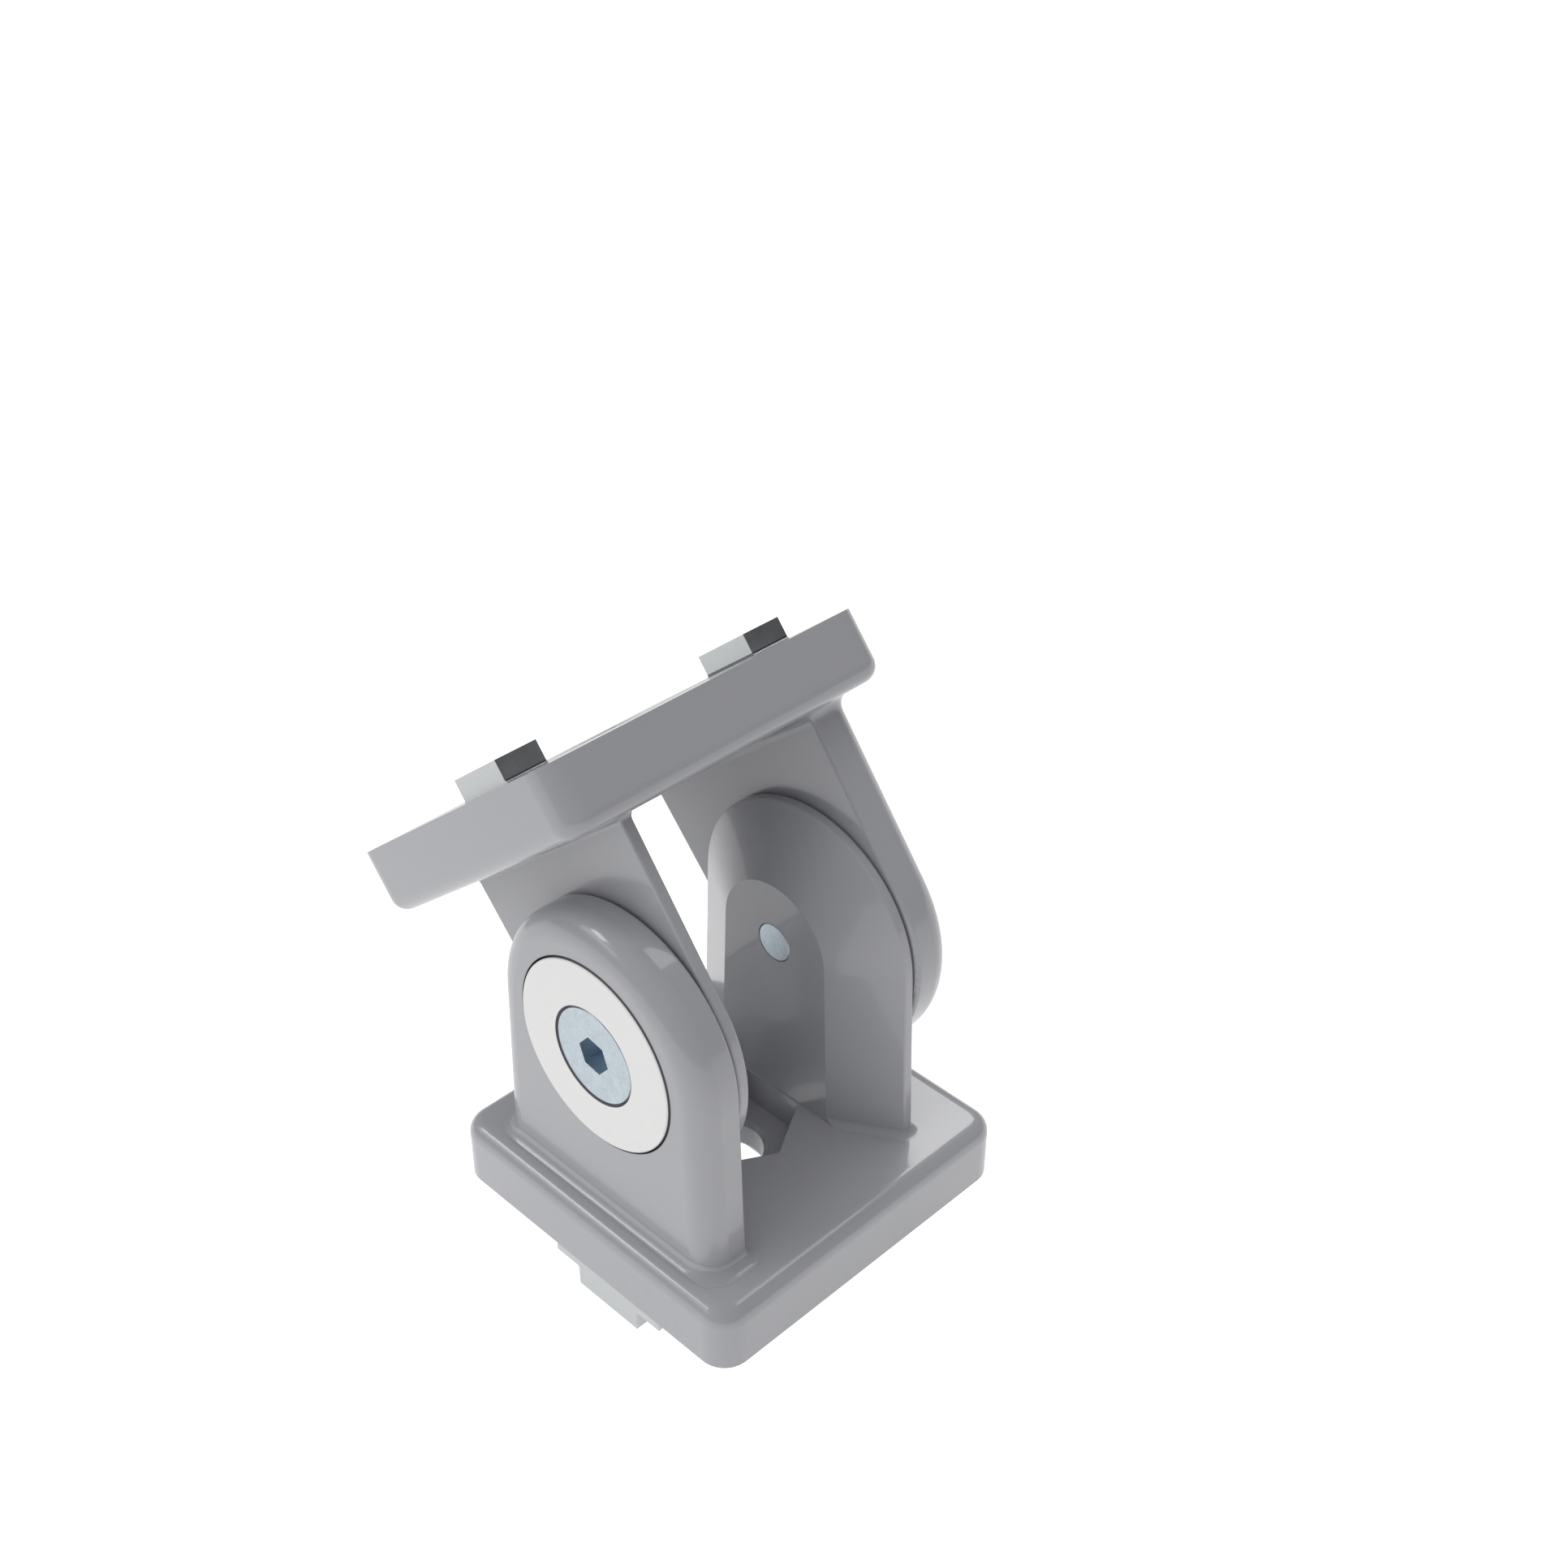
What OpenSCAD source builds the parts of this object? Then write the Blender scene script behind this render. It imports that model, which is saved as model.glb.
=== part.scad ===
// Profile pivot joint: two die-cast halves, each a square plate with a wide outer ear and a
// slimmer inner ear, turn about one cross axis. A shouldered bush fills the bore of each outer
// ear, and a countersunk screw holds it to the inner ear of the other half. A locating strip
// with two lugs lies against the outer face of each plate and enters the slots of a profile.
// Origin: centre of the lower plate's outer face. +Z up, pivot axis along X.

/* [Plates] */
// Side of each square plate, the same as the profile it closes
plate_w = 45; // [42:1:60]
// Thickness of each plate
plate_t = 8; // [7:0.5:14]
// Radius of the plate's four upright corners
plate_corner_r = 3.3; // [2.6:0.1:6]
// Rounding of the plate's edges on the ear side
plate_edge_r = 2; // [0.5:0.1:2.4]
// Diameter of the bolt hole through each plate
bolt_hole_d = 8.2; // [5:0.1:9]
// Across flats of the hexagonal recess for the bolt head
recess_af = 14.5; // [11:0.1:14.6]
// Metal left under the bolt head
recess_floor = 3.4; // [2.4:0.1:5]
// Chamfer at the bolt hole's upper edge
hole_chamfer = 0.5; // [0.1:0.1:1]

/* [Ears] */
// Height of the pivot axis above the plate's outer face
pivot_h = 30; // [28:0.5:45]
// Radius of the ears about the pivot axis
ear_r = 15.9; // [14.8:0.1:18]
// Draft of the ears' sides, in degrees
ear_draft = 2.1; // [0.5:0.1:4]
// Clear width between the two inner ears
throat = 14.84; // [14.8:0.01:20]
// Thickness of the inner ear at its pad
inner_ear_t = 6.07; // [5:0.01:8]
// Thickness of the inner ear's thin rim
rim_t = 1.35; // [0.8:0.05:2.5]
// Radius of the raised pad on the inner ear
pad_r = 7.9; // [5:0.1:10]
// Running gap between an inner ear and the outer ear beside it
ear_gap = 0.25; // [0.1:0.05:0.5]
// Thickness of the outer ear
outer_ear_t = 5.76; // [5:0.01:7]
// Rounding of the outer ear's outside edge
outer_round = 2; // [0.5:0.1:2.6]
// Rounding of the thin edges of both ears
edge_break = 0.35; // [0.1:0.05:0.5]
// Fillet at the foot of the outer ear
outer_foot_r = 1.6; // [0.5:0.1:2]
// Fillet at the foot of the inner ear
inner_foot_r = 0.9; // [0.4:0.1:1.2]

/* [Pivot] */
// Radius of the bush's flange, the pale disc in the ear
flange_r = 11.67; // [10:0.01:12]
// Thickness of the bush's flange
flange_t = 2.6; // [2:0.1:3.4]
// Radius of the bush's barrel, on which the other half turns
barrel_r = 9; // [7:0.1:9.6]
// How far the bush stands out of the ear
bush_proud = 0.25; // [0:0.05:0.6]
// Radial clearance of the bush's barrel in the ear's bore
bush_fit = 0.06; // [0.02:0.01:0.1]
// Open groove round the bush's flange
flange_gap = 0.22; // [0.1:0.01:0.4]
// Axial play of the ear under the bush's flange
flange_play = 0.1; // [0.05:0.05:0.3]
// Thread diameter of the pivot screw
screw_d = 6; // [5:0.5:6]
// Diameter of the pivot screw's countersunk head
head_d = 11.8; // [10:0.1:13]
// How far the head lies below the bush's face
head_sink = 0.12; // [0:0.01:0.4]
// Height of the straight rim above the head's cone
head_rim = 0.3; // [0.1:0.05:0.6]
// Clearance of the screw in its seat and thread
screw_fit = 0.03; // [0.02:0.01:0.06]
// Gap round the screw's head and shank in the bush
screw_gap = 0.18; // [0.1:0.01:0.3]
// Across flats of the screw's hexagonal socket
socket_af = 4; // [3:0.1:4.5]
// Depth of the screw's hexagonal socket
socket_depth = 2.6; // [1.5:0.1:3]
// Diameter of the screw's plain tip, seen in the pad
tip_d = 4.9; // [3:0.1:4.9]
// Length of the screw's plain tip
tip_len = 0.7; // [0.3:0.1:1.5]
// Turn of the screw's socket about the pivot axis, in degrees
socket_turn = 10; // [0:5:55]
// Bevel on the edges of the bush and the screw
bevel = 0.15; // [0.05:0.01:0.2]

/* [Locating strips] */
// Length of the strip over its two lugs
strip_len = 41; // [36:0.5:41.5]
// Width of the strip's thin collar
strip_w = 17.2; // [14:0.1:22]
// Thickness of the strip's thin collar
strip_t = 1; // [0.6:0.1:1.4]
// How far the strip's centre line lies beside the plate's
strip_shift = 3.5; // [0:0.1:4]
// Length of a lug along the strip
lug_len = 5.5; // [3:0.1:8]
// Width of a lug, to enter a 10 mm slot
lug_w = 9.7; // [6:0.1:12]
// Height of a lug above the collar
lug_h = 2.7; // [1:0.1:6]
// Fillet between a lug's side and the collar
lug_root_r = 0.3; // [0.2:0.1:1.5]
// Width of the strip's open notch round the bolt
notch_w = 9.2; // [8.6:0.1:10]
// Clearance of the sunk collar in the upper plate's pocket
pocket_fit = 0.1; // [0.05:0.01:0.2]

/* [Pose] */
// Lean of the upper half from straight up, towards +Y, in degrees
tilt = 40; // [-90:5:90]

/* [Hidden] */
$fn = 96;
// How far a cutter runs past the surface it opens
over = 1;
// How deep a foot fillet is sunk into the plate
foot_sink = 0.5;
// Ledge on the ear and step on the plate in which a foot fillet ends, too small to be seen
foot_ledge = 0.03;
foot_step = 0.02;

// Planes across the pivot axis, measured from the middle of the joint
pad_x = throat / 2;
inner_x = pad_x + inner_ear_t;
rim_x = inner_x - rim_t;
outer_x0 = inner_x + ear_gap;
outer_x1 = outer_x0 + outer_ear_t;
disc_x = outer_x1 + bush_proud;
flange_x = disc_x - flange_t;
counterbore_x = flange_x - flange_play;
head_x = disc_x - head_sink;
tip_x = pad_x + screw_fit;

// Slope of the inner ear's flank, from its pad to its rim
flank_len = norm([ear_r - pad_r, rim_x - pad_x]);
flank_in = (ear_r - pad_r) / flank_len;
flank_up = (rim_x - pad_x) / flank_len;
bend_x = rim_x + edge_break * (1 - flank_up) / flank_in;

screw_r = screw_d / 2;
head_r = head_d / 2;
tip_r = tip_d / 2;
// Where the screw's tip has grown to its full thread
thread_x = pad_x + tip_len + screw_r - tip_r;
// Where the head's cone begins, and the same cone in the bush
head_cone_x = head_x - head_rim;
seat_x = head_cone_x - screw_fit * sqrt(2);
strip_x = -(plate_w - strip_len) / 2;
ear_reach = pivot_h - plate_t / 2;
// Where the outer ear's fillet stops, at the start of the plate's rounded edge
foot_limit_x = plate_w / 2 - plate_edge_r;

// Border of the plate in section: as wide as the corner radius, its upper edge rounded over
module border_section() {
    flat = plate_corner_r - plate_edge_r;
    square([flat, plate_t]);
    translate([flat, 0]) square([plate_edge_r, plate_t - plate_edge_r]);
    translate([flat, plate_t - plate_edge_r]) intersection() {
        circle(plate_edge_r);
        square(plate_edge_r);
    }
}

// Plate with sharp edges on its outer face and round ones on the ear side:
// a square core, the border run along its four sides and turned round its four corners
module plate() {
    corner = plate_w / 2 - plate_corner_r;
    translate([-corner, -corner, 0]) cube([2 * corner, 2 * corner, plate_t]);
    for (a = [0, 90, 180, 270]) rotate([0, 0, a]) {
        translate([corner, corner, 0]) rotate([90, 0, 0]) linear_extrude(2 * corner) border_section();
        translate([corner, corner, 0]) rotate_extrude(angle = 90) border_section();
    }
}

// Section of the outer ear: distance from the pivot across, place along the pivot axis up
module outer_section(from) {
    mid = (outer_x0 + outer_x1) / 2;
    translate([from, outer_x0]) square([ear_r - edge_break - from, mid - outer_x0]);
    translate([from, mid]) square([ear_r - outer_round - from, outer_x1 - mid]);
    translate([from, outer_x0 + edge_break])
        square([ear_r - from, outer_ear_t - edge_break - outer_round]);
    translate([ear_r - edge_break, outer_x0 + edge_break]) circle(edge_break);
    translate([ear_r - outer_round, outer_x1 - outer_round]) circle(outer_round);
}

// Points of an arc about c from angle a to angle b
function arc(c, r, a, b, steps = 5) =
    [for (i = [0:steps]) c + r * [cos(a + (b - a) * i / steps), sin(a + (b - a) * i / steps)]];

// Section of the inner ear: a thin rim, a slanted flank and a raised pad
module inner_section(from) {
    slope = atan2(flank_up, flank_in);
    polygon(concat(
        [[from, pad_x], [pad_r, pad_x]],
        arc([ear_r - edge_break, bend_x], edge_break, slope - 90, 0),
        arc([ear_r - edge_break, inner_x - edge_break], edge_break, 0, 90),
        [[from, inner_x]]
    ));
}

// Turns a shape about Z into one about the pivot axis, on the given side of the joint
module on_pivot(side) {
    translate([0, 0, pivot_h]) rotate([0, 0, side > 0 ? 0 : 180]) rotate([90, 0, 90]) children();
}

// Round head about the pivot and two drafted sides down into the plate.
// The first child is the section from the axis, the second the same section run past the axis.
module ear(side) {
    on_pivot(side) {
        rotate([0, 0, ear_draft]) rotate_extrude(angle = 180 - 2 * ear_draft) children(0);
        for (m = [0, 1])
            mirror([m, 0, 0]) rotate([0, 0, ear_draft]) rotate([90, 0, 0])
                linear_extrude(ear_reach) children(1);
    }
}

// Half width of an ear's drafted side at height z, for radius r about the pivot
function side_y(r, z) = r / cos(ear_draft) + (pivot_h - z) * tan(ear_draft);

// Section of a foot fillet of radius r, g being the rounding of the upright edge it goes round
module foot_section(g, r) {
    far = g + foot_ledge + r;
    difference() {
        translate([0, -foot_sink]) square([far, foot_sink + foot_step + r]);
        translate([far, foot_step + r]) circle(r);
    }
}

// Straight foot fillet along the plate from p to q, on the left of that line
module foot_run(p, q, g, r) {
    translate([p.x, p.y, plate_t]) rotate([0, 0, atan2(q.y - p.y, q.x - p.x)])
        rotate([90, 0, 90]) linear_extrude(norm(q - p)) foot_section(g, r);
}

// The same fillet turned round an upright edge, from angle a to angle b
module foot_turn(p, g, r, a, b) {
    translate([p.x, p.y, plate_t]) rotate([0, 0, a]) rotate_extrude(angle = b - a) foot_section(g, r);
}

// Fillets at the foot of the outer ear, on the -X side of the plate
module outer_foot() {
    r = outer_foot_r;
    y = side_y(ear_r, plate_t + foot_step + r);
    big = [outer_round - outer_x1, y - outer_round];
    small = [-outer_x0 - edge_break, y - edge_break];
    intersection() {
        union() {
            foot_run([big.x, -big.y], big, outer_round, r);
            foot_run(small, [small.x, -small.y], edge_break, r);
            for (m = [0, 1]) mirror([0, m, 0]) {
                foot_run([big.x, small.y], small, edge_break, r);
                foot_turn(big, outer_round, r, 90, 180);
                foot_turn(small, edge_break, r, 0, 90);
            }
        }
        translate([-foot_limit_x, -plate_w / 2, 0]) cube([plate_w, plate_w, 2 * plate_t]);
    }
}

// Fillets at the foot of the inner ear, on the +X side, cut off flush with its pad
module inner_foot() {
    r = inner_foot_r;
    y = side_y(ear_r, plate_t + foot_step + r) - edge_break;
    bend = [bend_x, y];
    back = [inner_x - edge_break, y];
    run = (bend_x - pad_x + over) / flank_up * [flank_up, flank_in];
    intersection() {
        union() {
            foot_run(back, [back.x, -y], edge_break, r);
            for (m = [0, 1]) mirror([0, m, 0]) {
                foot_run(bend - run, bend, edge_break, r);
                foot_run(bend, back, edge_break, r);
                foot_turn(bend, edge_break, r, 90, 90 + atan2(flank_in, flank_up));
                foot_turn(back, edge_break, r, 0, 90);
            }
        }
        translate([pad_x + foot_ledge, -plate_w / 2, 0]) cube([plate_w, plate_w, 2 * plate_t]);
    }
}

// Stepped bore of the outer ear, in which the other half's bush turns
module bush_bore() {
    on_pivot(-1) {
        translate([0, 0, outer_x0 - over])
            cylinder(r = barrel_r + bush_fit, h = outer_ear_t + over);
        translate([0, 0, counterbore_x])
            cylinder(r = flange_r + flange_gap, h = outer_x1 - counterbore_x + over);
    }
}

// Hole of the inner ear for the other half's pivot screw, narrow where it breaks the pad
module screw_hole() {
    on_pivot(1) {
        translate([0, 0, pad_x - over]) cylinder(r = tip_r + screw_fit, h = over + tip_len + over / 2);
        translate([0, 0, pad_x + tip_len])
            cylinder(r1 = tip_r + screw_fit, r2 = screw_r + screw_fit, h = screw_r - tip_r);
        translate([0, 0, thread_x]) cylinder(r = screw_r + screw_fit, h = inner_x - thread_x + over);
    }
}

// Bolt hole with its chamfer, and the hexagonal recess above it
module bolt_cut() {
    translate([0, 0, -over]) cylinder(d = bolt_hole_d, h = plate_t + over);
    translate([0, 0, recess_floor - hole_chamfer])
        cylinder(d1 = bolt_hole_d, d2 = bolt_hole_d + 4 * hole_chamfer, h = 2 * hole_chamfer);
    translate([0, 0, recess_floor]) rotate([0, 0, 30])
        cylinder(d = recess_af / cos(30), h = plate_t, $fn = 6);
}

// Pocket across the plate's outer face for a sunk strip, open at the plate's side
module strip_pocket() {
    translate([-plate_w / 2 - over, -strip_shift - strip_w / 2 - pocket_fit, -over])
        cube([strip_x + strip_len / 2 + plate_w / 2 + pocket_fit + over,
              strip_w + 2 * pocket_fit, strip_t + over]);
}

// One half of the joint: outer ear on the -X side, inner ear on the +X side
module casting() {
    color([0.60, 0.60, 0.63]) difference() {
        union() {
            plate();
            ear(-1) {
                outer_section(0);
                outer_section(-barrel_r);
            }
            ear(1) {
                inner_section(0);
                inner_section(-tip_r);
            }
            outer_foot();
            inner_foot();
        }
        bush_bore();
        screw_hole();
        bolt_cut();
    }
}

// Shouldered bush, drawn on the +X side: flange in the outer ear's counterbore, barrel through it
module bush() {
    hole_r = screw_r + screw_gap;
    mouth_r = head_r + screw_gap;
    color([0.88, 0.88, 0.88]) on_pivot(1) rotate_extrude() polygon([
        [hole_r, inner_x], [barrel_r - bevel, inner_x], [barrel_r, inner_x + bevel],
        [barrel_r, flange_x], [flange_r - bevel, flange_x], [flange_r, flange_x + bevel],
        [flange_r, disc_x - bevel], [flange_r - bevel, disc_x], [mouth_r, disc_x],
        [mouth_r, seat_x + mouth_r - head_r], [hole_r, seat_x + hole_r - head_r]
    ]);
}

// Countersunk socket screw, drawn on the +X side, its plain tip flush in the pad
module screw() {
    color([0.78, 0.82, 0.85]) on_pivot(1) difference() {
        rotate_extrude() polygon([
            [0, tip_x], [tip_r - bevel, tip_x], [tip_r, tip_x + bevel], [tip_r, pad_x + tip_len],
            [screw_r, thread_x], [screw_r, head_cone_x - head_r + screw_r],
            [head_r, head_cone_x], [head_r, head_x - bevel], [head_r - bevel, head_x], [0, head_x]
        ]);
        translate([0, 0, head_x - socket_depth]) rotate([0, 0, socket_turn])
            cylinder(d = socket_af / cos(30), h = socket_depth + over, $fn = 6);
        translate([0, 0, head_x - socket_depth - socket_af / 4])
            cylinder(r1 = 0, r2 = socket_af / 2, h = socket_af / 4);
    }
}

// Locating strip under a plate: thin collar with an open notch for the bolt, and two lugs
module strip() {
    lug_x = (strip_len - lug_len) / 2;
    color([0.76, 0.78, 0.79]) translate([strip_x, -strip_shift, 0]) {
        difference() {
            translate([-strip_len / 2, -strip_w / 2, -strip_t]) cube([strip_len, strip_w, strip_t]);
            translate([-strip_x, strip_shift, -strip_t - over])
                cylinder(d = notch_w, h = strip_t + 2 * over);
            translate([-strip_x - notch_w / 2, strip_shift, -strip_t - over])
                cube([notch_w, strip_w, strip_t + 2 * over]);
        }
        for (x = [-lug_x, lug_x]) translate([x, 0, -strip_t]) {
            translate([-lug_len / 2, -lug_w / 2, -lug_h]) cube([lug_len, lug_w, lug_h + strip_t / 2]);
            for (m = [0, 1]) mirror([0, m, 0])
                translate([lug_len / 2, lug_w / 2, 0]) rotate([0, -90, 0])
                    linear_extrude(lug_len) difference() {
                        translate([-lug_root_r, -strip_t / 2]) square(lug_root_r + strip_t / 2);
                        translate([-lug_root_r, lug_root_r]) circle(lug_root_r);
                    }
        }
    }
}

// Sets a half, drawn like the lower one, upside down over the pivot and leans it over
module upper_half() {
    translate([0, 0, pivot_h]) rotate([-tilt, 0, 0]) rotate([0, 180, 0])
        translate([0, 0, -pivot_h]) children();
}

module lower_casting() casting();

// The upper half alone has a pocket, so its strip lies flush with the plate
module upper_casting() {
    upper_half() color([0.60, 0.60, 0.63]) difference() {
        casting();
        strip_pocket();
    }
}

// The left bush and screw sit on the upper half's inner ear and lean with it
module left_bush() upper_half() bush();
module left_screw() upper_half() screw();
module right_bush() bush();
module right_screw() screw();

module lower_strip() strip();
module upper_strip() upper_half() translate([0, 0, strip_t]) strip();

lower_casting();
upper_casting();
left_bush();
right_bush();
left_screw();
right_screw();
lower_strip();
upper_strip();
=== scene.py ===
import math

import bpy
from mathutils import Matrix, Vector


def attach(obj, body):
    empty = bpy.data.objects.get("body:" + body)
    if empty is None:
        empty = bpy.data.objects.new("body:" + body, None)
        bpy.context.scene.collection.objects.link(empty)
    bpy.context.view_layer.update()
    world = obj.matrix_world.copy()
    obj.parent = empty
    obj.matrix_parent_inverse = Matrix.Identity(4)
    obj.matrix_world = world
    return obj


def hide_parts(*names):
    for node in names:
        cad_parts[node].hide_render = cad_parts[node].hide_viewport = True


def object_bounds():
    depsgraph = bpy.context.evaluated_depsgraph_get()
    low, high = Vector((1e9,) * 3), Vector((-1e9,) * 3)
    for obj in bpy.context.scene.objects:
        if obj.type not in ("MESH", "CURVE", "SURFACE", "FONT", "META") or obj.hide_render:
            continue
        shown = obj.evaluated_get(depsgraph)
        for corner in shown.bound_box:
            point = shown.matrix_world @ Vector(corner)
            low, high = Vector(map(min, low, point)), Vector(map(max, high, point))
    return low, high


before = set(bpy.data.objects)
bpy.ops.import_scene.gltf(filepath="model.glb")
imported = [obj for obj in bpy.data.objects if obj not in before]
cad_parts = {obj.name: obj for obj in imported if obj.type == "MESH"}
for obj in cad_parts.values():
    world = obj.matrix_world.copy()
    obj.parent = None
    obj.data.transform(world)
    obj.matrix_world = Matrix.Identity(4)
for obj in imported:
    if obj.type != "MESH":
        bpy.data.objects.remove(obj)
cad_low, cad_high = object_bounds()
bpy.ops.object.select_all(action="DESELECT")

# Camera: a product photographer's long lens, above the front left corner of the lower plate.
# Its place and turn were found by fitting the plates' corners and the pivot screws.
camera_data = bpy.data.cameras.new("camera")
camera_data.angle = math.radians(40)
camera_data.clip_start = 0.01
camera_data.clip_end = 20
camera = bpy.data.objects.new("camera", camera_data)
camera.location = (-0.127142, -0.134397, 0.184555)
camera.rotation_euler = [math.radians(a) for a in (55.1089, -0.2613, -45.1673)]
bpy.context.scene.collection.objects.link(camera)
bpy.context.scene.camera = camera
bpy.context.scene.view_settings.view_transform = "Standard"

# Studio: a white paper sweep, so the world is white to the camera. Around the joint it is a soft
# grey room, brightest above and to the left, and dim in gloss so that only the panels show there.
# The pivot's height, and how far each light panel stands from the pivot, are in metres.
WHITE = (1, 1, 1, 1)
ROOM_IN_GLOSS = (0.085, 0.088, 0.093, 1)
BRIGHT_SIDE = (-0.28, 0.36, 0.72)
ROOM_LEVEL = 0.42
PIVOT_HEIGHT = 0.03
PANEL_AWAY = 0.8


# Adds a node to a node tree. Its inputs are given in order or by name, each as a value or as
# the output of another node, and its settings are given by name.
def add_node(tree, kind, inputs=(), **settings):
    node = tree.nodes.new(kind)
    for name, value in settings.items():
        setattr(node, name, value)
    given = inputs.items() if isinstance(inputs, dict) else enumerate(inputs)
    for socket, value in given:
        if isinstance(value, bpy.types.NodeSocket):
            tree.links.new(value, node.inputs[socket])
        else:
            node.inputs[socket].default_value = value
    return node


world = bpy.data.worlds.new("studio")
bpy.context.scene.world = world
world.use_nodes = True
tree = world.node_tree
tree.nodes.clear()
place = add_node(tree, "ShaderNodeTexCoord")
ray = add_node(tree, "ShaderNodeLightPath")
side = add_node(
    tree,
    "ShaderNodeVectorMath",
    (place.outputs["Generated"], BRIGHT_SIDE),
    operation="DOT_PRODUCT",
)
level = add_node(
    tree, "ShaderNodeMath", (side.outputs["Value"], ROOM_LEVEL), operation="ADD", use_clamp=True
)
room = add_node(tree, "ShaderNodeBackground", {"Strength": level.outputs[0]})
gloss = add_node(tree, "ShaderNodeBackground", {"Color": ROOM_IN_GLOSS})
sweep = add_node(tree, "ShaderNodeBackground", {"Color": WHITE})
around = add_node(
    tree,
    "ShaderNodeMixShader",
    (ray.outputs["Is Glossy Ray"], room.outputs[0], gloss.outputs[0]),
)
seen = add_node(
    tree,
    "ShaderNodeMixShader",
    (ray.outputs["Is Camera Ray"], around.outputs[0], sweep.outputs[0]),
)
add_node(tree, "ShaderNodeOutputWorld", {"Surface": seen.outputs[0]})


# Light panels that face the pivot, each given by where it stands, degrees round from +Y towards
# +X and degrees up, by its two sides in metres, by how bright it is, and by whether its light
# falls on matt surfaces and shows in gloss.
def panel(name, around, up, size, bright, on_matt=True, in_gloss=True):
    data = bpy.data.lights.new(name, "AREA")
    data.shape = "RECTANGLE"
    data.size, data.size_y = size
    data.energy = bright * math.pi * size[0] * size[1]
    box = bpy.data.objects.new(name, data)
    around, up = math.radians(around), math.radians(up)
    box.location = (
        PANEL_AWAY * math.sin(around) * math.cos(up),
        PANEL_AWAY * math.cos(around) * math.cos(up),
        PANEL_AWAY * math.sin(up) + PIVOT_HEIGHT,
    )
    box.rotation_euler = (math.pi / 2 - up, 0, math.pi - around)
    box.visible_diffuse = on_matt
    box.visible_glossy = in_gloss
    bpy.context.scene.collection.objects.link(box)


# The key light falls on matt surfaces alone, and the spot and the edge show in gloss alone.
panel("key_panel", -72, 62, (0.34, 0.34), 1.6, in_gloss=False)
panel("spot_panel", -43, 40, (0.20, 0.12), 6.5, on_matt=False)
panel("edge_panel", -50, 30, (0.50, 0.12), 1.6, on_matt=False)
panel("sky_panel", 58, 47, (0.30, 0.22), 5.0)
panel("top_panel", 97, 61, (0.24, 0.11), 2.5)

# Floor: the matt white sweep that the lower strip's lugs stand on, lit from below like a light
# table. Its paper is lifted to white for the camera, and only the joint's soft shadow stays.
SWEEP_SIDE = 6
PAPER = (0.7, 0.7, 0.7, 1)
PAPER_FOR_CAMERA = 0.9
GLOW = {"From Min": 0.03, "From Max": 0.14, "To Min": 0.48, "To Max": 0.25}
bpy.ops.mesh.primitive_plane_add(size=SWEEP_SIDE, location=(0, 0, cad_low.z))
floor = bpy.context.object
floor.name = "floor"
paper = bpy.data.materials.new("white_paper")
paper.use_nodes = True
tree = paper.node_tree
tree.nodes.clear()
place = add_node(tree, "ShaderNodeTexCoord")
ray = add_node(tree, "ShaderNodeLightPath")
reach = add_node(tree, "ShaderNodeVectorMath", (place.outputs["Object"],), operation="LENGTH")
glow = add_node(tree, "ShaderNodeMapRange", {"Value": reach.outputs["Value"], **GLOW})
light = add_node(
    tree,
    "ShaderNodeMix",
    {"Factor": ray.outputs["Is Camera Ray"], "A": glow.outputs[0], "B": PAPER_FOR_CAMERA},
)
lift = add_node(tree, "ShaderNodeEmission", {"Strength": light.outputs[0]})
matt = add_node(tree, "ShaderNodeBsdfDiffuse", {"Color": PAPER})
both = add_node(tree, "ShaderNodeAddShader", (matt.outputs[0], lift.outputs[0]))
add_node(tree, "ShaderNodeOutputMaterial", {"Surface": both.outputs[0]})
floor.data.materials.append(paper)

# Castings: two equal halves, die-cast and powder coated in a semi-gloss grey. The coat flows
# level, so it mirrors what stands near, with only a trace of orange peel in its gloss.
# Here are the millimetres in a metre, and how far the upper half leans in the photographed pose.
MM = 1000
LEAN = math.radians(40)

# The grain that every finish here shares: wide patches and a fine grain, each put out by itself
# and both together as a tone round 1 that a colour is multiplied by. A noise runs from about
# 0.3 to 0.7.
NOISE_LOW, NOISE_MIDDLE, NOISE_HIGH = 0.3, 0.5, 0.7
grain = bpy.data.node_groups.new("surface_grain", "ShaderNodeTree")
for name in ("Patch Scale", "Patch Contrast", "Grain Scale", "Grain Contrast"):
    grain.interface.new_socket(name, in_out="INPUT", socket_type="NodeSocketFloat")
for name in ("Tone", "Patches", "Grain"):
    grain.interface.new_socket(name, in_out="OUTPUT", socket_type="NodeSocketFloat")
given = add_node(grain, "NodeGroupInput")
place = add_node(grain, "ShaderNodeTexCoord")
tone = 1
fields = []
for name, detail in (("Patch", 4), ("Grain", 2)):
    noise = add_node(
        grain,
        "ShaderNodeTexNoise",
        {
            "Vector": place.outputs["Object"],
            "Scale": given.outputs[name + " Scale"],
            "Detail": detail,
        },
    )
    fields.append(noise.outputs["Fac"])
    centred = add_node(grain, "ShaderNodeMath", (fields[-1], NOISE_MIDDLE), operation="SUBTRACT")
    tone = add_node(
        grain,
        "ShaderNodeMath",
        (centred.outputs[0], given.outputs[name + " Contrast"], tone),
        operation="MULTIPLY_ADD",
    ).outputs[0]
add_node(grain, "NodeGroupOutput", {"Tone": tone, "Patches": fields[0], "Grain": fields[1]})


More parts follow.
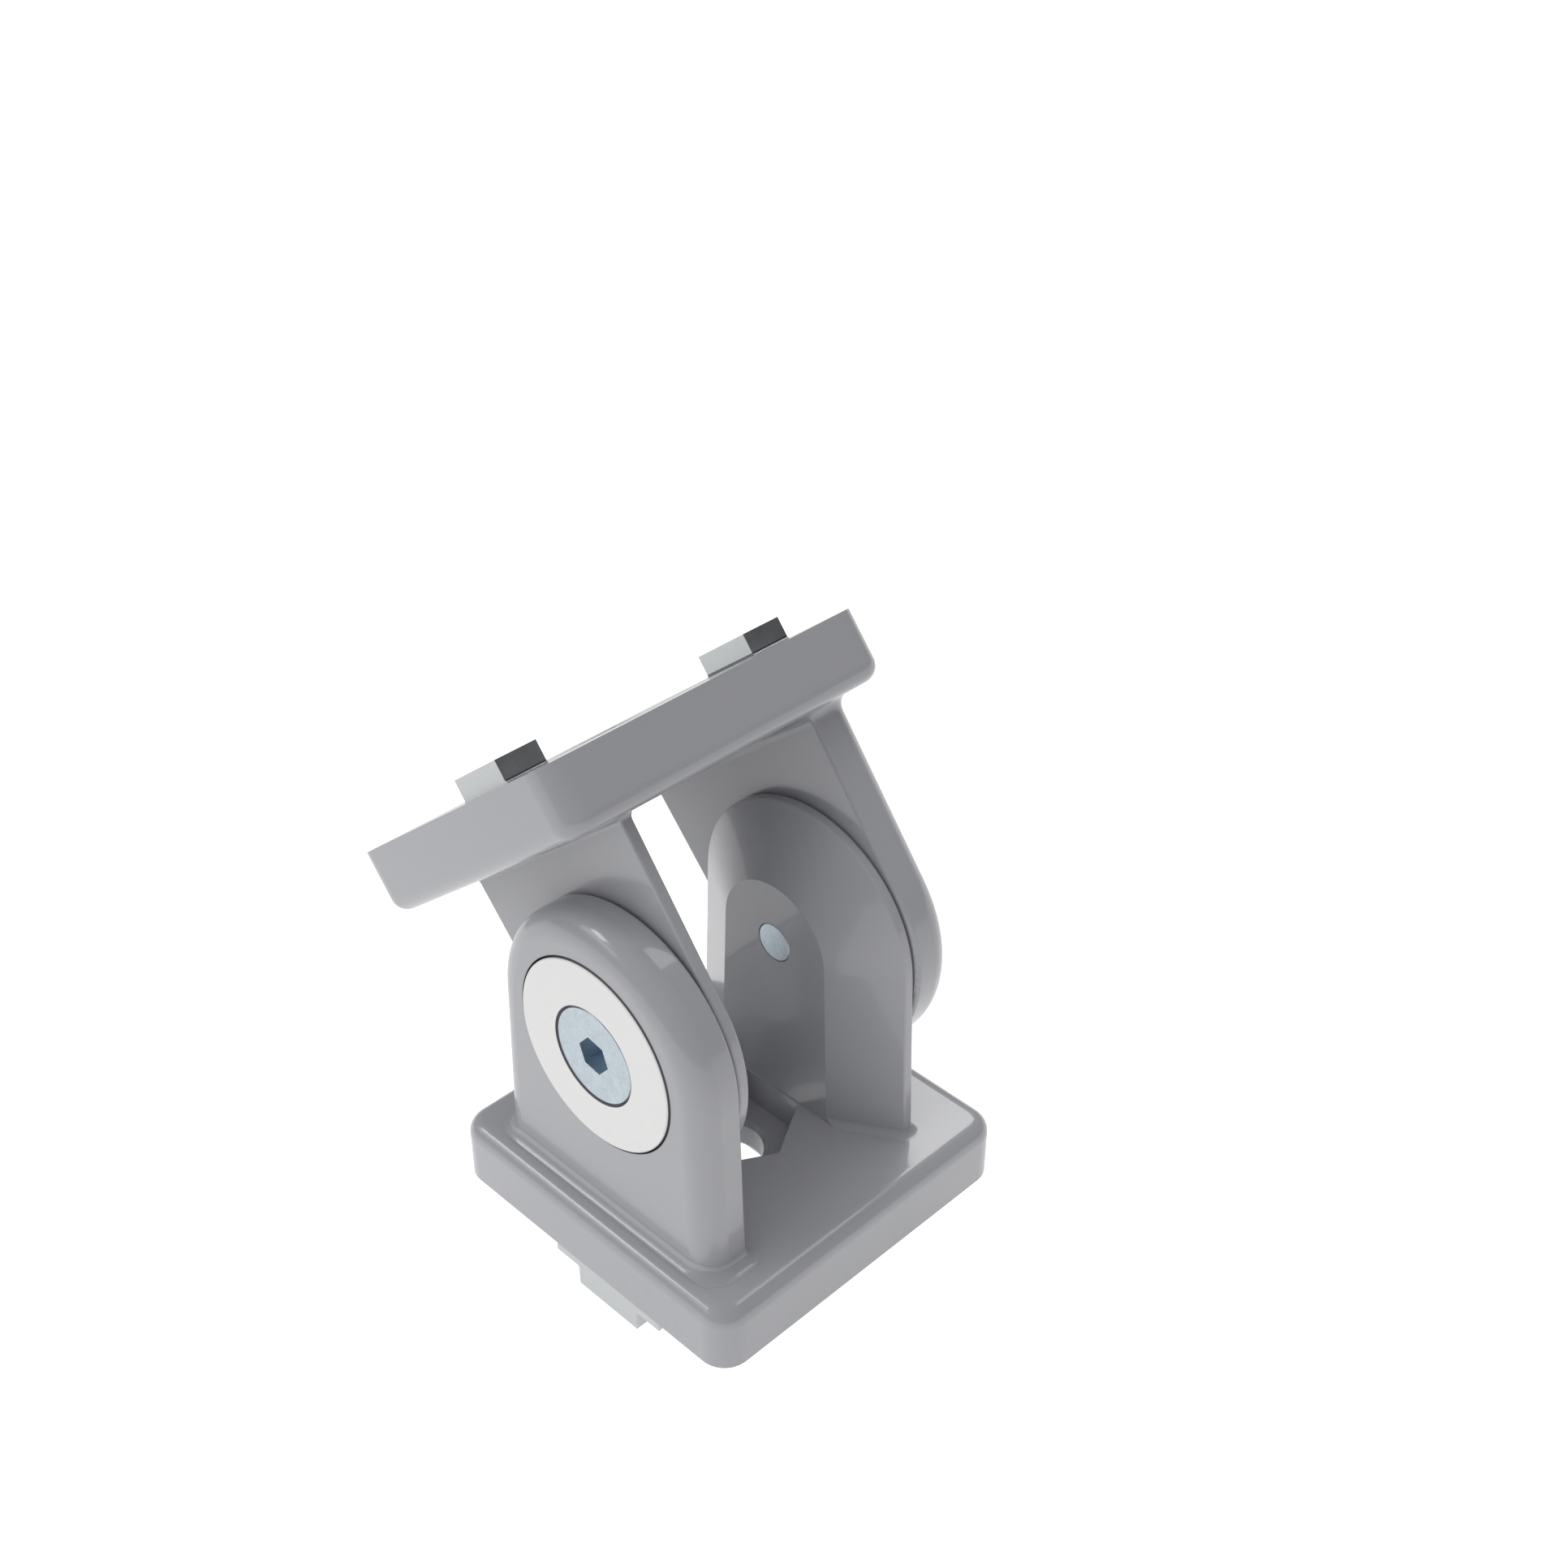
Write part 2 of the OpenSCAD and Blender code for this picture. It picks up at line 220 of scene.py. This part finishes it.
# A finish with that grain: its tone in the colour, its patches in the roughness, and its fine
# grain as a bump of the given height in metres. Patches and grain are each a scale and a
# contrast, and what is the same all over is set plainly on the shader.
def finish(name, colour, rough, patches, fine, bump, plain):
    material = bpy.data.materials.new(name)
    material.use_nodes = True
    tree = material.node_tree
    shader = tree.nodes["Principled BSDF"]
    for socket, value in plain.items():
        shader.inputs[socket].default_value = value
    surface = add_node(
        tree,
        "ShaderNodeGroup",
        {
            "Patch Scale": patches[0],
            "Patch Contrast": patches[1],
            "Grain Scale": fine[0],
            "Grain Contrast": fine[1],
        },
        node_tree=grain,
    )
    tinted = add_node(
        tree,
        "ShaderNodeVectorMath",
        {"Vector": colour, "Scale": surface.outputs["Tone"]},
        operation="SCALE",
    )
    spread = add_node(
        tree,
        "ShaderNodeMapRange",
        {
            "Value": surface.outputs["Patches"],
            "From Min": NOISE_LOW,
            "From Max": NOISE_HIGH,
            "To Min": rough[0],
            "To Max": rough[1],
        },
    )
    relief = add_node(
        tree, "ShaderNodeBump", {"Distance": bump, "Height": surface.outputs["Grain"]}
    )
    tree.links.new(tinted.outputs[0], shader.inputs["Base Color"])
    tree.links.new(spread.outputs[0], shader.inputs["Roughness"])
    tree.links.new(relief.outputs[0], shader.inputs["Normal"])
    return material


# Where a point is round the pivot, in millimetres: its distance from the pivot's axis, and how
# far along it lies from the middle of the joint, to either side.
pivot = bpy.data.node_groups.new("pivot_place", "ShaderNodeTree")
for name in ("Radius", "Reach"):
    pivot.interface.new_socket(name, in_out="OUTPUT", socket_type="NodeSocketFloat")
place = add_node(pivot, "ShaderNodeTexCoord")
from_axis = add_node(
    pivot,
    "ShaderNodeVectorMath",
    (place.outputs["Object"], (0, MM, MM), (0, 0, -MM * PIVOT_HEIGHT)),
    operation="MULTIPLY_ADD",
)
from_middle = add_node(
    pivot, "ShaderNodeVectorMath", (place.outputs["Object"], (MM, 0, 0)), operation="MULTIPLY"
)
radius, reach = [
    add_node(pivot, "ShaderNodeVectorMath", (way.outputs["Vector"],), operation="LENGTH")
    for way in (from_axis, from_middle)
]
add_node(
    pivot,
    "NodeGroupOutput",
    {"Radius": radius.outputs["Value"], "Reach": reach.outputs["Value"]},
)


# A mask that is 1 where a value lies between two limits.
def between(tree, value, low, high):
    middle, half = (low + high) / 2, (high - low) / 2
    inside = add_node(tree, "ShaderNodeMath", (value, middle, half), operation="COMPARE")
    return inside.outputs[0]


# Paints light or shade into a finish's colour: multiplies it by a shade where both masks are 1,
# such as painted shade in a narrow seam. Sockets 6 and 7 of a colour mix are its colours, and
# output 2 its result.
def paint_light_or_shade_where(material, masks, shade):
    tree = material.node_tree
    colour = tree.nodes["Principled BSDF"].inputs["Base Color"]
    mask = add_node(tree, "ShaderNodeMath", masks, operation="MULTIPLY")
    shaded = add_node(
        tree,
        "ShaderNodeMix",
        {0: mask.outputs[0], 6: colour.links[0].from_socket, 7: (*shade, 1)},
        data_type="RGBA",
        blend_type="MULTIPLY",
    )
    tree.links.new(shaded.outputs[2], colour)


# Paints light or shade on a ring round the pivot, from the first to the second reach and radius.
def paint_light_or_shade_ring(material, reach, radius, shade):
    tree = material.node_tree
    place = add_node(tree, "ShaderNodeGroup", node_tree=pivot)
    masks = (
        between(tree, place.outputs["Reach"], *reach),
        between(tree, place.outputs["Radius"], *radius),
    )
    paint_light_or_shade_where(material, masks, shade)


# The coat, and painted shade on the wall of the seat that each bush's flange lies in.
coat = finish(
    "grey_powder_coat",
    colour=(0.408, 0.412, 0.439),
    rough=(0.27, 0.31),
    patches=(60, 0.035),
    fine=(900, 0.015),
    bump=0.0000003,
    plain={"Coat Weight": 0.7, "Coat Roughness": 0.08},
)
# Painted shade on the wall of each bush's seat.
paint_light_or_shade_ring(coat, reach=(15.5, 20.5), radius=(11.86, 11.94), shade=(0.22, 0.22, 0.24))

# The real outer ear is softer than its solid: its head is 0.6 mm wider all round, its outer edge
# is rounded by 3.1 mm and not 2, and its inner edge by 0.7 mm. Each casting is a merged copy of
# its solid whose ear is moved so. Every point keeps the direction that it faces.
SAME_POINT = 0.0000005
WIDER = 0.6

# The lean of the ear's sides, and limits in millimetres that hold the points to move: above the
# plate's top, beyond the gap between the ears, and between two distances from the pivot's axis.
# The crown between the two edges lies past a third.
EAR_LEAN = math.radians(2.1)
ABOVE_PLATE = 7.99
BEYOND_GAP = -12.2
RIM_START, RIM_END = 12.2, 17.7
CROWN_START = 15

# The middle of each edge's rounding, out from the pivot's axis and along X, and how far it moves.
OUTER_EDGE = {"out": 13.9, "x": -17.71, "move_out": -0.5, "move_x": 1.1}
INNER_EDGE = {"out": 15.55, "x": -14.3, "move_out": 0.25, "move_x": -0.35}


def soften_ear(x, y, z):
    height = z - MM * PIVOT_HEIGHT
    if z < ABOVE_PLATE or x > BEYOND_GAP:
        return x, y, z
    if height * math.cos(EAR_LEAN) > abs(y) * math.sin(EAR_LEAN):
        out = math.hypot(y, height)
        way = (y / out, height / out)
    else:
        out = abs(y) * math.cos(EAR_LEAN) + height * math.sin(EAR_LEAN)
        way = (math.copysign(1, y), 0)
    if not RIM_START < out < RIM_END:
        return x, y, z
    edge = OUTER_EDGE if x <= OUTER_EDGE["x"] else INNER_EDGE
    side, depth = out - edge["out"], x - edge["x"]
    if OUTER_EDGE["x"] < x < INNER_EDGE["x"]:
        if out < CROWN_START:
            return x, y, z
        along = (x - OUTER_EDGE["x"]) / (INNER_EDGE["x"] - OUTER_EDGE["x"])
        move = WIDER
        x += OUTER_EDGE["move_x"] + along * (INNER_EDGE["move_x"] - OUTER_EDGE["move_x"])
    elif side < 0:
        move = edge["move_out"] * (out - RIM_START) / (edge["out"] - RIM_START)
    else:
        far = math.hypot(side, depth)
        turn = (side / far, depth / far) if far else (1, 0)
        grow = WIDER - edge["move_out"]
        move = edge["move_out"] + grow * turn[0]
        x += edge["move_x"] + grow * turn[1]
    return x, y + move * way[0], z + move * way[1]


# The upper half is the lower one turned over and leant by 40 degrees round the pivot.
turned_over = (
    Matrix.Translation((0, 0, PIVOT_HEIGHT))
    @ Matrix.Rotation(-LEAN, 4, "X")
    @ Matrix.Diagonal((-1, 1, -1, 1))
    @ Matrix.Translation((0, 0, -PIVOT_HEIGHT))
)
for name, place in (("lower", Matrix()), ("upper", turned_over)):
    # The solid's loose triangles are merged, with the way that each corner faces kept aside.
    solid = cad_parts[name + "_casting"]
    bpy.ops.object.select_all(action="DESELECT")
    solid.select_set(True)
    bpy.context.view_layer.objects.active = solid
    bpy.ops.object.duplicate()
    casting = bpy.context.object
    casting.name = name + "_half"
    facing = casting.data.attributes.new("facing", "FLOAT_VECTOR", "CORNER")
    for spot, corner in zip(facing.data, casting.data.corner_normals):
        spot.vector = corner.vector
    bpy.ops.object.mode_set(mode="EDIT")
    bpy.ops.mesh.select_all(action="SELECT")
    bpy.ops.mesh.remove_doubles(threshold=SAME_POINT)
    bpy.ops.object.mode_set(mode="OBJECT")
    # Its ear is moved where the lower half's stands, and the corners then face as before.
    back = place.inverted()
    for vertex in casting.data.vertices:
        here = MM * (back @ vertex.co)
        vertex.co = place @ (Vector(soften_ear(*here)) / MM)
    facing = casting.data.attributes["facing"]
    kept = [tuple(spot.vector) for spot in facing.data]
    casting.data.attributes.remove(facing)
    casting.data.normals_split_custom_set(kept)
    casting.material_slots[0].material = coat
    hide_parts(name + "_casting")
    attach(casting, name)

# Bushes: turned from a pale grey plastic, matt all over, with a fine moulded grain. The flange's
# side and the wall round the screw's head are painted dark, as shade in their narrow seams.
pale = finish(
    "pale_bush_plastic",
    colour=(0.92, 0.92, 0.915),
    rough=(0.50, 0.62),
    patches=(250, 0.03),
    fine=(5000, 0.10),
    bump=0.000006,
    plain={},
)
# Painted shade in the seams round the flange's side and round the screw's head.
paint_light_or_shade_ring(pale, reach=(15.5, 21), radius=(11.64, 11.8), shade=(0.25, 0.25, 0.27))
paint_light_or_shade_ring(pale, reach=(15.5, 21), radius=(0, 6.12), shade=(0.2, 0.2, 0.22))
for name in ("left_bush", "right_bush"):
    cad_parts[name].material_slots[0].material = pale

# Pivot screws: countersunk socket screws in bluish zinc plating, softly mottled. Painted light
# tints the hexagon bluer, as light bouncing there looks, and makes the screw's tip lighter.
zinc = finish(
    "blue_zinc_plate",
    colour=(0.57, 0.64, 0.69),
    rough=(0.34, 0.46),
    patches=(900, 0.45),
    fine=(4000, 0.32),
    bump=0.000004,
    plain={"Metallic": 1},
)
# Painted light: a bluer tint down in the hexagon, and a lighter tone on the screw's tip.
paint_light_or_shade_ring(zinc, reach=(14, 19.6), radius=(0, 2.4), shade=(0.975, 1.036, 1.1))
paint_light_or_shade_ring(zinc, reach=(0, 12), radius=(0, 2.5), shade=(1.3, 1.3, 1.3))
for name in ("left_screw", "right_screw"):
    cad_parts[name].material_slots[0].material = zinc

# Locating strips: pressed from light metal and lightly blasted. The narrow roots of the upper
# strip's lugs, just above the upper plate's face, are painted in shade short of the strip's ends.
blasted = finish(
    "blasted_light_metal",
    colour=(0.63, 0.65, 0.657),
    rough=(0.28, 0.34),
    patches=(500, 0.06),
    fine=(4000, 0.20),
    bump=0.000004,
    plain={"Metallic": 1},
)
# In millimetres, up along the leaning plate's own normal and along X.
UPPER_FACE = MM * PIVOT_HEIGHT * (math.cos(LEAN) + 1)
LUG_ROOT = (UPPER_FACE + 0.02, UPPER_FACE + 0.36)
SHORT_OF_ENDS = (-18.4, 22.4)
tree = blasted.node_tree
place = add_node(tree, "ShaderNodeTexCoord")
up, along = [
    add_node(
        tree, "ShaderNodeVectorMath", (place.outputs["Object"], way), operation="DOT_PRODUCT"
    ).outputs["Value"]
    for way in ((0, MM * math.sin(LEAN), MM * math.cos(LEAN)), (MM, 0, 0))
]
# Painted shade along the upper lugs' roots.
masks = (between(tree, up, *LUG_ROOT), between(tree, along, *SHORT_OF_ENDS))
paint_light_or_shade_where(blasted, masks, shade=(0.3, 0.3, 0.31))
for name in ("lower_strip", "upper_strip"):
    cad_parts[name].material_slots[0].material = blasted
